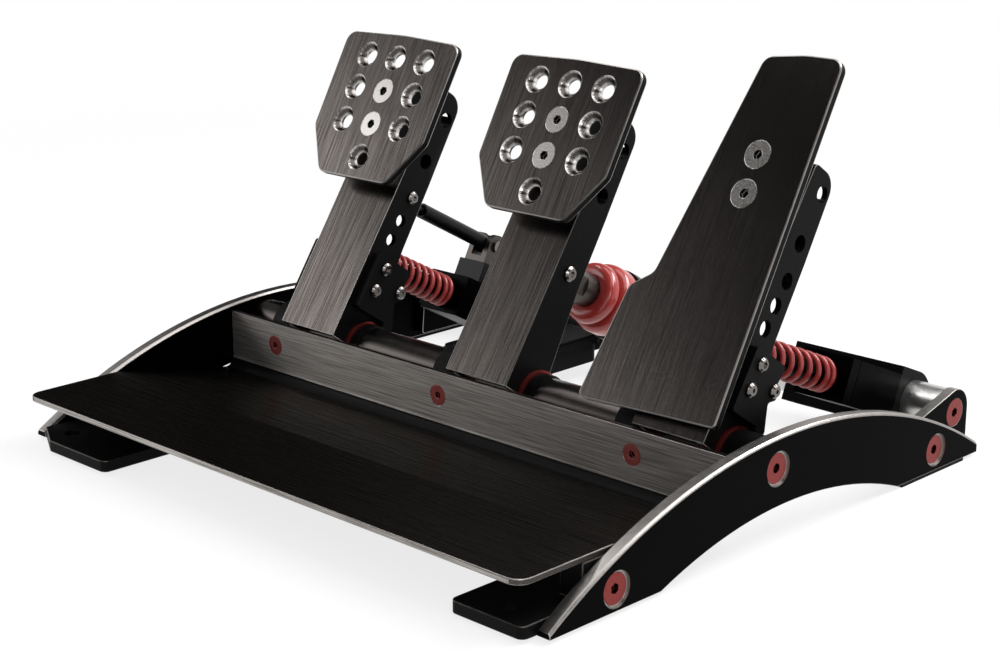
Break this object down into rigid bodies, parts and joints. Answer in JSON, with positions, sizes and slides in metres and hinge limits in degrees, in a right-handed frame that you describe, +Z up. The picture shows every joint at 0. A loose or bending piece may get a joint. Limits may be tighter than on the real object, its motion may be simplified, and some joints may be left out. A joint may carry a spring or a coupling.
{
  "type": "sim racing pedal set",
  "caption": "Racing simulator pedal set: sprung clutch, load-cell brake and gas pedals on one axle between arched side plates, with a folded heel plate.",
  "frame": {"origin": "middle of the part's footprint, on the floor under the rubber pads", "axes": "+X to the driver's right, +Y away from the driver, +Z up"},
  "size_m": [0.4, 0.3646, 0.2305],
  "materials": {
    "black_anodised_aluminium": "black anodised, brushed",
    "black_coated_metal": "matte black coating",
    "satin_black_metal": "satin black",
    "red_anodised_aluminium": "red anodised, satin",
    "red_spring_steel": "red powder coat",
    "red_elastomer": "cast polyurethane",
    "bright_steel": "bright zinc plated",
    "dark_polished_steel": "dark polished",
    "polished_tube": "polished",
    "bare_aluminium": "machined",
    "black_rubber": "matte"
  },
  "bodies": {
    "base": {"side_plate_left": "black_anodised_aluminium", "side_plate_right": "black_anodised_aluminium", "heel_plate": "black_anodised_aluminium", "front_foot_left": "black_coated_metal", "front_foot_right": "black_coated_metal", "rubber_pads": "black_rubber", "side_screws": "red_anodised_aluminium", "bar_screws": "red_anodised_aluminium", "pedal_axle": "dark_polished_steel", "clutch_axle_support": "black_coated_metal", "brake_axle_support": "black_coated_metal", "gas_axle_support": "black_coated_metal", "axle_collars": "black_coated_metal", "rear_tube": "polished_tube", "rear_bracket_left": "black_coated_metal", "rear_bracket_right": "black_coated_metal", "rear_tube_screws": "red_anodised_aluminium", "clutch_rear_block": "black_coated_metal", "brake_rear_block": "black_coated_metal", "gas_rear_block": "black_coated_metal", "clutch_spring_body": "satin_black_metal", "gas_spring_body": "satin_black_metal", "load_cell_housing": "satin_black_metal", "damper_block": "black_coated_metal", "damper_clevis": "bare_aluminium", "clevis_pin": "bright_steel", "control_box": "black_coated_metal", "control_box_cover": "black_coated_metal"},
    "clutch_pedal": {"clutch_arm": "black_anodised_aluminium", "clutch_pad": "black_anodised_aluminium", "clutch_pad_bracket": "black_coated_metal", "clutch_pad_screws": "bright_steel", "clutch_axle_bushes": "red_anodised_aluminium", "clutch_spring_brackets": "black_coated_metal", "clutch_bracket_screws": "bright_steel", "clutch_spring_pin": "bright_steel", "damper_bolt": "bright_steel"},
    "brake_pedal": {"brake_arm": "black_anodised_aluminium", "brake_pad": "black_anodised_aluminium", "brake_pad_bracket": "black_coated_metal", "brake_pad_screws": "bright_steel", "brake_axle_bushes": "red_anodised_aluminium", "brake_pin_bolt": "bright_steel"},
    "gas_pedal": {"gas_arm": "black_anodised_aluminium", "gas_plate": "black_anodised_aluminium", "gas_pad_bracket": "black_coated_metal", "gas_pad_screws": "bright_steel", "gas_axle_bushes": "red_anodised_aluminium", "gas_spring_brackets": "black_coated_metal", "gas_bracket_screws": "bright_steel", "gas_spring_pin": "bright_steel"},
    "clutch_unit": {"clutch_spring_rod": "satin_black_metal", "clutch_spring": "red_spring_steel"},
    "gas_unit": {"gas_spring_rod": "satin_black_metal", "gas_spring": "red_spring_steel"},
    "brake_unit": {"brake_rod": "polished_tube", "brake_cup": "bright_steel", "brake_elastomers": "red_elastomer"},
    "damper_strut": {"damper_rod": "satin_black_metal"},
    "damper_tube": {"damper_body": "satin_black_metal"}
  },
  "joints": [
    {"name": "clutch_press", "type": "hinge", "parent": "base", "child": "clutch_pedal", "pos_m": [-0.126, -0.0075, 0.0396], "axis": [-1, 0, 0], "range_deg": [0, 16], "stiffness_Nm_per_rad": 14, "springref_deg": -9.17, "deforming": ["clutch_spring"]},
    {"name": "brake_press", "type": "hinge", "parent": "base", "child": "brake_pedal", "pos_m": [0.014, -0.0075, 0.0396], "axis": [-1, 0, 0], "range_deg": [0, 5], "stiffness_Nm_per_rad": 110, "springref_deg": -2.86, "deforming": ["brake_elastomers"]},
    {"name": "gas_press", "type": "hinge", "parent": "base", "child": "gas_pedal", "pos_m": [0.1485, -0.0075, 0.0396], "axis": [-1, 0, 0], "range_deg": [0, 16], "stiffness_Nm_per_rad": 10, "springref_deg": -11.46, "deforming": ["gas_spring"]},
    {"name": "clutch_rod_swing", "type": "hinge", "parent": "clutch_pedal", "child": "clutch_unit", "pos_m": [-0.126, 0.0061, 0.08522], "axis": [-1, 0, 0], "range_deg": [-15.7, 0.3]},
    {"name": "gas_rod_swing", "type": "hinge", "parent": "gas_pedal", "child": "gas_unit", "pos_m": [0.1485, 0.0061, 0.08522], "axis": [-1, 0, 0], "range_deg": [-16.5, 0.3]},
    {"name": "brake_rod_swing", "type": "hinge", "parent": "brake_pedal", "child": "brake_unit", "pos_m": [0.014, 0.01869, 0.10411], "axis": [-1, 0, 0], "range_deg": [-5, 0.3]},
    {"name": "damper_rod_swing", "type": "hinge", "parent": "clutch_pedal", "child": "damper_strut", "pos_m": [-0.126, 0.03356, 0.1228], "axis": [-1, 0, 0], "range_deg": [-17.9, 0.3]},
    {"name": "damper_tube_swing", "type": "hinge", "parent": "base", "child": "damper_tube", "pos_m": [-0.126, 0.11995, 0.07581], "axis": [-1, 0, 0], "range_deg": [-1.7, 0.3]}
  ],
  "couplings": [
    {"joint": "clutch_rod_swing", "follows": "clutch_press", "ratio": -0.96},
    {"joint": "gas_rod_swing", "follows": "gas_press", "ratio": -1.01},
    {"joint": "brake_rod_swing", "follows": "brake_press", "ratio": -0.944},
    {"joint": "damper_rod_swing", "follows": "clutch_press", "ratio": -1.091},
    {"joint": "damper_tube_swing", "follows": "clutch_press", "ratio": -0.091}
  ]
}
